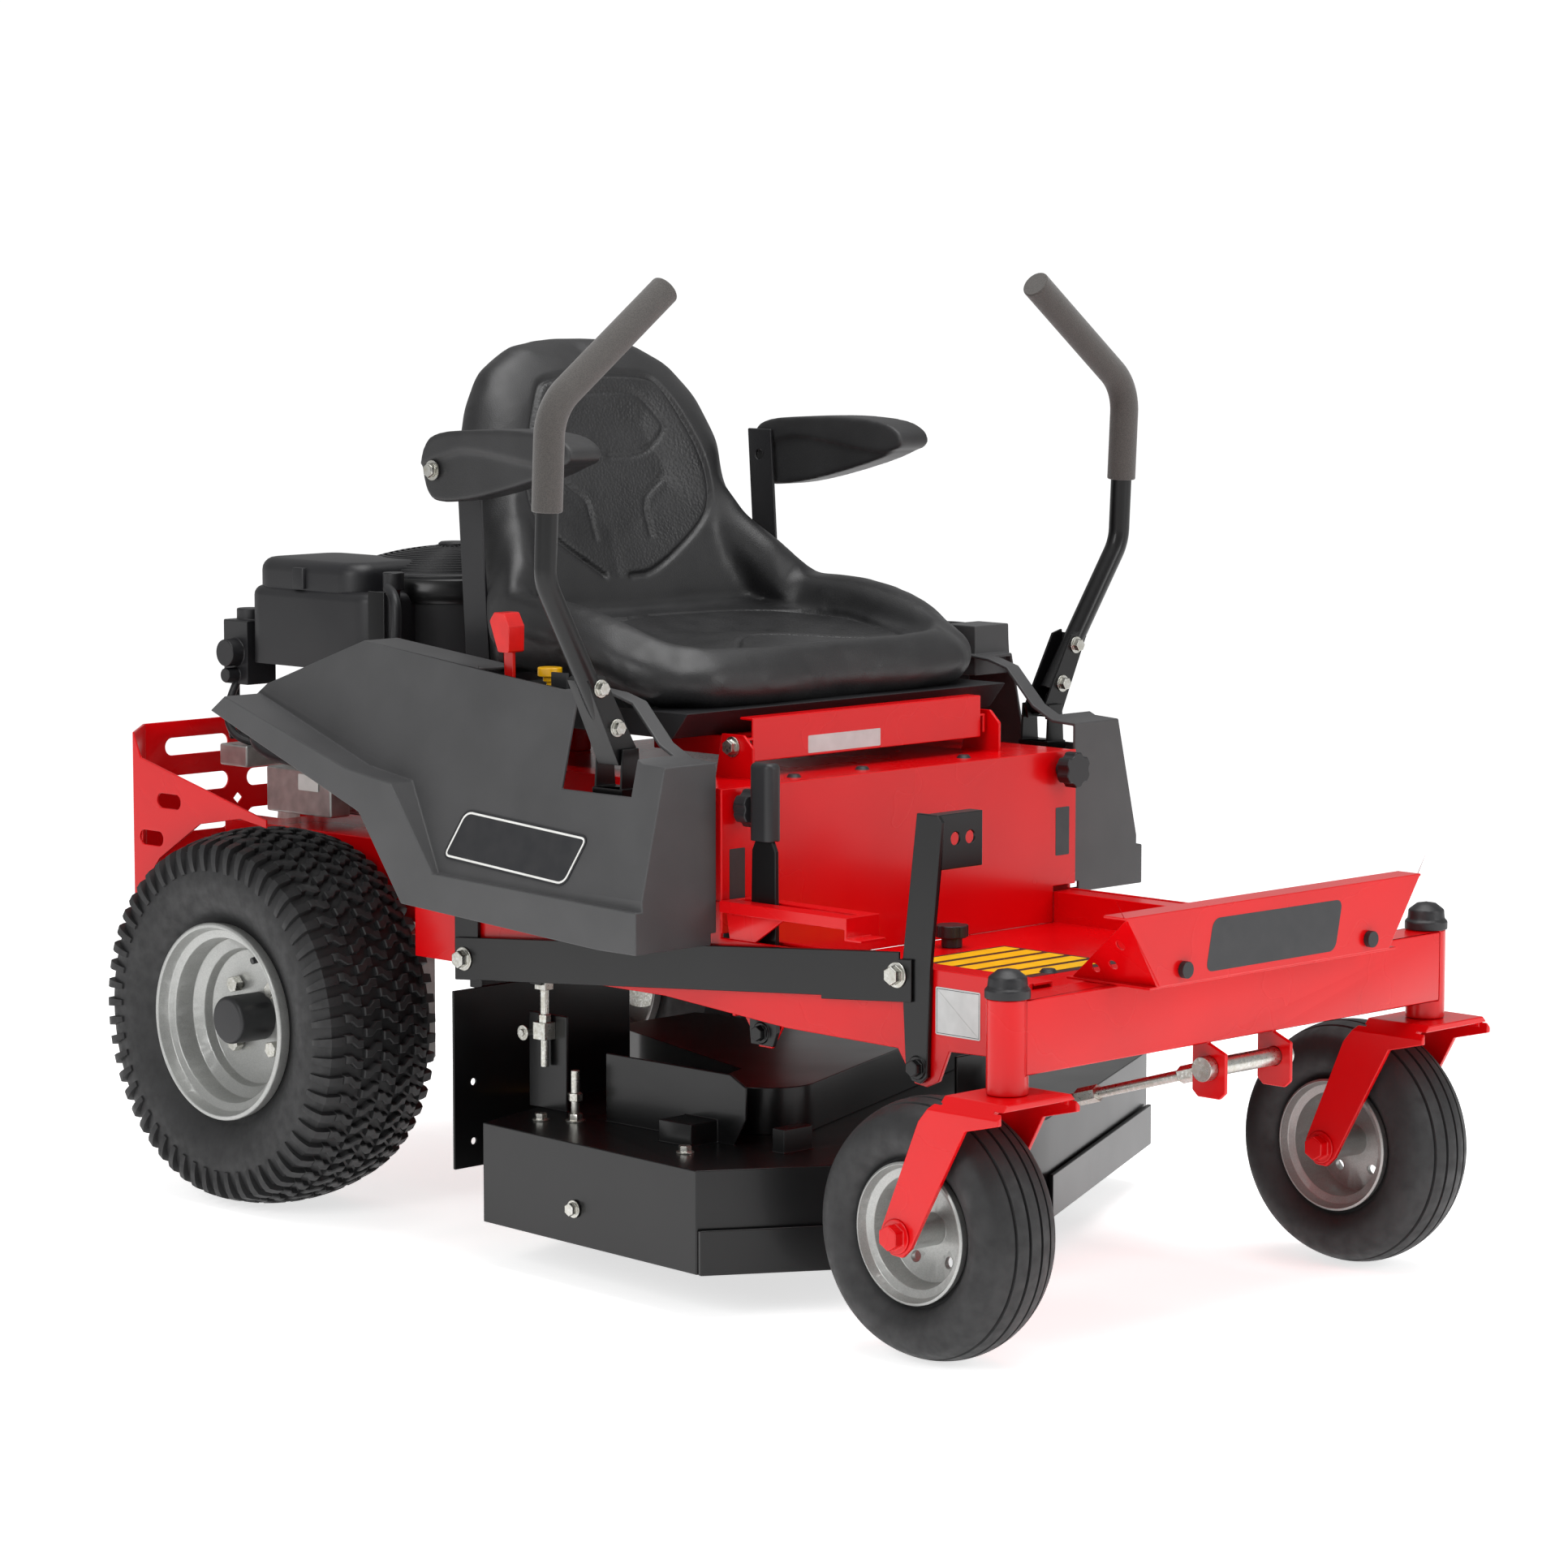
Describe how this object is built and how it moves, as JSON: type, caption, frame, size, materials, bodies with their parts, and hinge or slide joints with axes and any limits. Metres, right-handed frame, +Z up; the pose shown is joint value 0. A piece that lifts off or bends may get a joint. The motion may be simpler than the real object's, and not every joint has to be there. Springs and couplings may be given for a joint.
{
  "type": "riding lawn mower",
  "caption": "Zero-turn riding lawn mower with lap-bar levers, sprung-hinge seat, belly deck with blades, rear engine, front casters and a foot-pedal deck lift.",
  "frame": {"origin": "on the ground, on the machine's centre plane, near the middle of the wheelbase", "axes": "+Z up, -Y forwards, +X towards the operator's left, +Y along the machine's length towards the engine"},
  "size_m": [1.014, 1.691, 1.1251],
  "materials": {
    "red_paint": "gloss powder coat",
    "black_paint": "semi-gloss powder coat",
    "silver_paint": "satin silver paint",
    "grey_plastic": "moulded with a fine grain",
    "black_plastic": "moulded",
    "soft_black_plastic": "soft moulded skin",
    "red_plastic": "moulded",
    "yellow_plastic": "moulded",
    "tyre_rubber": "moulded rubber",
    "grey_foam": "closed-cell foam",
    "black_vinyl": "grained vinyl over foam",
    "zinc_steel": "zinc plated",
    "cast_aluminium": "as cast",
    "aluminised_steel": "aluminised"
  },
  "bodies": {
    "chassis": {"main_frame": "red_paint", "front_beam": "red_paint", "floor_pan": "red_paint", "front_step_plate": "red_paint", "seat_tower": "red_paint", "fender_right": "grey_plastic", "fender_left": "grey_plastic", "rear_guard": "red_paint", "quadrant_bracket": "red_paint", "caster_caps": "black_plastic", "rear_baffle": "black_paint", "engine_block": "cast_aluminium", "blower_housing": "black_plastic", "air_filter_cover": "black_plastic", "muffler": "aluminised_steel", "carburettor": "black_plastic", "transaxles": "cast_aluminium", "battery": "black_plastic", "fuel_tank": "black_plastic", "frame_fasteners": "zinc_steel"},
    "crankshaft": {"crank_pulleys": "zinc_steel"},
    "seat": {"seat_base": "red_paint", "seat_pan": "black_plastic", "seat_cushion": "black_vinyl", "seat_back": "black_vinyl"},
    "deck": {"deck_shell": "black_paint", "belt_cover": "black_paint", "deck_fasteners": "zinc_steel"},
    "pedal": {"lift_pedal": "black_paint"},
    "link": {"link_bar": "black_paint"},
    "lift_shaft": {"lift_arm": "black_paint"},
    "height_lever": {"height_lever": "black_paint"},
    "front_link": {"front_link_rod": "zinc_steel"},
    "throttle": {"throttle_lever": "red_plastic"},
    "pto_knob": {"pto_knob": "yellow_plastic"},
    "ignition_key": {"ignition_key": "black_plastic"},
    "rear_wheel_right": {"rear_tyre_right": "tyre_rubber", "rear_rim_right": "silver_paint", "rear_hub_right": "zinc_steel"},
    "caster_right": {"caster_fork_right": "red_paint"},
    "caster_wheel_right": {"caster_tyre_right": "tyre_rubber", "caster_rim_right": "silver_paint"},
    "control_arm_right": {"control_arm_right": "black_paint"},
    "drive_lever_right": {"drive_lever_right": "black_paint", "lever_grip_right": "grey_foam"},
    "armrest_right": {"armrest_right": "soft_black_plastic"},
    "blade_right": {"mower_blade_right": "black_paint"},
    "tracking_knob_right": {"tracking_knob_right": "black_plastic"},
    "rear_wheel_left": {"rear_tyre_left": "tyre_rubber", "rear_rim_left": "silver_paint", "rear_hub_left": "zinc_steel"},
    "caster_left": {"caster_fork_left": "red_paint"},
    "caster_wheel_left": {"caster_tyre_left": "tyre_rubber", "caster_rim_left": "silver_paint"},
    "control_arm_left": {"control_arm_left": "black_paint"},
    "drive_lever_left": {"drive_lever_left": "black_paint", "lever_grip_left": "grey_foam"},
    "armrest_left": {"armrest_left": "soft_black_plastic"},
    "blade_left": {"mower_blade_left": "black_paint"},
    "tracking_knob_left": {"tracking_knob_left": "black_plastic"}
  },
  "joints": [
    {"name": "rear_wheel_right_spin", "type": "hinge", "parent": "chassis", "child": "rear_wheel_right", "pos_m": [-0.306, 0.582, 0.228], "axis": [1, 0, 0], "continuous": true},
    {"name": "caster_right_swivel", "type": "hinge", "parent": "chassis", "child": "caster_right", "pos_m": [-0.349, -0.667, 0.34], "axis": [0, 0, 1], "continuous": true},
    {"name": "caster_wheel_right_spin", "type": "hinge", "parent": "caster_right", "child": "caster_wheel_right", "pos_m": [-0.349, -0.57, 0.1397], "axis": [1, 0, 0], "continuous": true},
    {"name": "drive_right", "type": "hinge", "parent": "chassis", "child": "control_arm_right", "pos_m": [-0.35, -0.084, 0.54], "axis": [1, 0, 0], "range_deg": [-15, 15]},
    {"name": "lever_swing_right", "type": "hinge", "parent": "control_arm_right", "child": "drive_lever_right", "pos_m": [-0.35, -0.084, 0.6], "axis": [0, 1, 0], "range_deg": [0, 28]},
    {"name": "armrest_right_tilt", "type": "hinge", "parent": "seat", "child": "armrest_right", "pos_m": [-0.27, 0.287, 0.898], "axis": [-1, 0, 0], "range_deg": [0, 95]},
    {"name": "blade_right_spin", "type": "hinge", "parent": "deck", "child": "blade_right", "pos_m": [-0.16, -0.13, 0.18], "axis": [0, 0, 1], "continuous": true},
    {"name": "tracking_knob_right_turn", "type": "hinge", "parent": "chassis", "child": "tracking_knob_right", "pos_m": [-0.266, -0.205, 0.544], "axis": [0, 1, 0], "range_deg": [-360, 360]},
    {"name": "rear_wheel_left_spin", "type": "hinge", "parent": "chassis", "child": "rear_wheel_left", "pos_m": [0.306, 0.582, 0.228], "axis": [1, 0, 0], "continuous": true},
    {"name": "caster_left_swivel", "type": "hinge", "parent": "chassis", "child": "caster_left", "pos_m": [0.349, -0.667, 0.34], "axis": [0, 0, 1], "continuous": true},
    {"name": "caster_wheel_left_spin", "type": "hinge", "parent": "caster_left", "child": "caster_wheel_left", "pos_m": [0.349, -0.57, 0.1397], "axis": [1, 0, 0], "continuous": true},
    {"name": "drive_left", "type": "hinge", "parent": "chassis", "child": "control_arm_left", "pos_m": [0.35, -0.084, 0.54], "axis": [1, 0, 0], "range_deg": [-15, 15]},
    {"name": "lever_swing_left", "type": "hinge", "parent": "control_arm_left", "child": "drive_lever_left", "pos_m": [0.35, -0.084, 0.6], "axis": [0, -1, 0], "range_deg": [0, 28]},
    {"name": "armrest_left_tilt", "type": "hinge", "parent": "seat", "child": "armrest_left", "pos_m": [0.27, 0.287, 0.898], "axis": [-1, 0, 0], "range_deg": [0, 95]},
    {"name": "blade_left_spin", "type": "hinge", "parent": "deck", "child": "blade_left", "pos_m": [0.287, 0.045, 0.18], "axis": [0, 0, 1], "continuous": true},
    {"name": "tracking_knob_left_turn", "type": "hinge", "parent": "chassis", "child": "tracking_knob_left", "pos_m": [0.266, -0.205, 0.544], "axis": [0, 1, 0], "range_deg": [-360, 360]},
    {"name": "seat_tilt", "type": "hinge", "parent": "chassis", "child": "seat", "pos_m": [0, -0.118, 0.6], "axis": [1, 0, 0], "range_deg": [0, 42]},
    {"name": "deck_lift", "type": "slide", "parent": "chassis", "child": "deck", "axis": [0, 0, 1], "range_m": [0, 0.06]},
    {"name": "pedal_push", "type": "hinge", "parent": "chassis", "child": "pedal", "pos_m": [-0.3, -0.49, 0.293], "axis": [1, 0, 0], "range_deg": [0, 26]},
    {"name": "link_front_pin", "type": "hinge", "parent": "pedal", "child": "link", "pos_m": [-0.3, -0.463, 0.39], "axis": [-1, 0, 0], "range_deg": [0, 26]},
    {"name": "lift_shaft_turn", "type": "hinge", "parent": "chassis", "child": "lift_shaft", "pos_m": [0, 0.232, 0.42], "axis": [-1, 0, 0], "range_deg": [0, 31]},
    {"name": "front_link_swing", "type": "hinge", "parent": "chassis", "child": "front_link", "pos_m": [0, -0.692, 0.288], "axis": [1, 0, 0], "range_deg": [0, 11]},
    {"name": "height_set", "type": "hinge", "parent": "chassis", "child": "height_lever", "pos_m": [-0.273, -0.235, 0.298], "axis": [1, 0, 0], "range_deg": [0, 36]},
    {"name": "crank_spin", "type": "hinge", "parent": "chassis", "child": "crankshaft", "pos_m": [0, 0.585, 0.4], "axis": [0, 0, 1], "continuous": true},
    {"name": "throttle_set", "type": "hinge", "parent": "chassis", "child": "throttle", "pos_m": [-0.33, 0.113, 0.645], "axis": [1, 0, 0], "range_deg": [-15, 15]},
    {"name": "pto_pull", "type": "slide", "parent": "chassis", "child": "pto_knob", "axis": [0, 0, 1], "range_m": [0, 0.018]},
    {"name": "key_turn", "type": "hinge", "parent": "chassis", "child": "ignition_key", "pos_m": [-0.33, 0.031, 0.65], "axis": [0, 0, -1], "range_deg": [0, 90]}
  ],
  "couplings": [
    {"joint": "pedal_push", "follows": "deck_lift", "rad_per_m": 7.2722},
    {"joint": "link_front_pin", "follows": "deck_lift", "rad_per_m": 7.0686},
    {"joint": "lift_shaft_turn", "follows": "deck_lift", "rad_per_m": 8.5812},
    {"joint": "front_link_swing", "follows": "deck_lift", "rad_per_m": 2.9089},
    {"joint": "blade_left_spin", "follows": "blade_right_spin", "ratio": 1}
  ]
}
